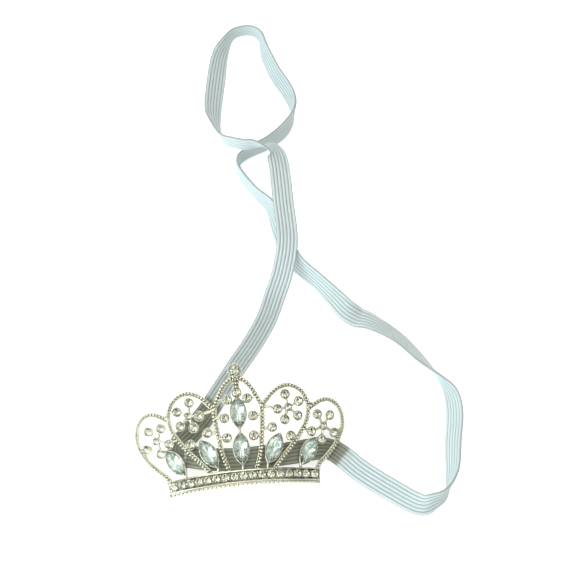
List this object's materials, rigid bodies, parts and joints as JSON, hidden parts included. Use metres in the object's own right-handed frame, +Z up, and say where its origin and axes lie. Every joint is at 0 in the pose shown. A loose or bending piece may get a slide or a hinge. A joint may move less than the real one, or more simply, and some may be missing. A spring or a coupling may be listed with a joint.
{
  "type": "mini crown headband",
  "caption": "Small jewelled metal crown with pierced beaded arches and set stones on a closed loop of flat ribbed elastic, worn round the head.",
  "frame": {"origin": "middle of the object's bounding box, on the surface it lies on", "axes": "+Y from the base of the crown toward its peak and on to the far end of the elastic, +X to the right seen from the front of the crown, +Z up, out of the front of the lying crown"},
  "size_m": [0.102, 0.1788, 0.0183],
  "materials": {
    "silver_metal": "polished",
    "clear_stone": "faceted",
    "ice_stone": "faceted",
    "white_elastic": "matte"
  },
  "bodies": {
    "root": {"crown_frame": "silver_metal", "base_stones": "clear_stone", "elastic_band": "white_elastic", "marquise_centre_upper": "ice_stone", "marquise_centre_lower": "ice_stone", "marquise_inner_right": "ice_stone", "marquise_inner_left": "ice_stone", "marquise_outer_right": "ice_stone", "marquise_outer_left": "ice_stone", "peak_stone": "clear_stone", "centre_top_stone": "clear_stone", "centre_shoulder_stone_right": "clear_stone", "centre_upper_stone_right": "clear_stone", "centre_lower_stone_right": "clear_stone", "flank_stone_inner_right": "clear_stone", "flank_stone_outer_right": "clear_stone", "centre_shoulder_stone_left": "clear_stone", "centre_upper_stone_left": "clear_stone", "centre_lower_stone_left": "clear_stone", "flank_stone_inner_left": "clear_stone", "flank_stone_outer_left": "clear_stone", "inner_flower_right_heart": "clear_stone", "outer_flower_right_heart": "clear_stone", "inner_flower_left_heart": "clear_stone", "outer_flower_left_heart": "clear_stone", "inner_flower_right_petal_1": "clear_stone", "inner_flower_right_petal_2": "clear_stone", "inner_flower_right_petal_3": "clear_stone", "inner_flower_right_petal_4": "clear_stone", "inner_flower_right_petal_5": "clear_stone", "outer_flower_right_petal_1": "clear_stone", "outer_flower_right_petal_2": "clear_stone", "outer_flower_right_petal_3": "clear_stone", "outer_flower_right_petal_4": "clear_stone", "outer_flower_right_petal_5": "clear_stone", "inner_flower_left_petal_1": "clear_stone", "inner_flower_left_petal_2": "clear_stone", "inner_flower_left_petal_3": "clear_stone", "inner_flower_left_petal_4": "clear_stone", "inner_flower_left_petal_5": "clear_stone", "outer_flower_left_petal_1": "clear_stone", "outer_flower_left_petal_2": "clear_stone", "outer_flower_left_petal_3": "clear_stone", "outer_flower_left_petal_4": "clear_stone", "outer_flower_left_petal_5": "clear_stone"}
  },
  "joints": []
}
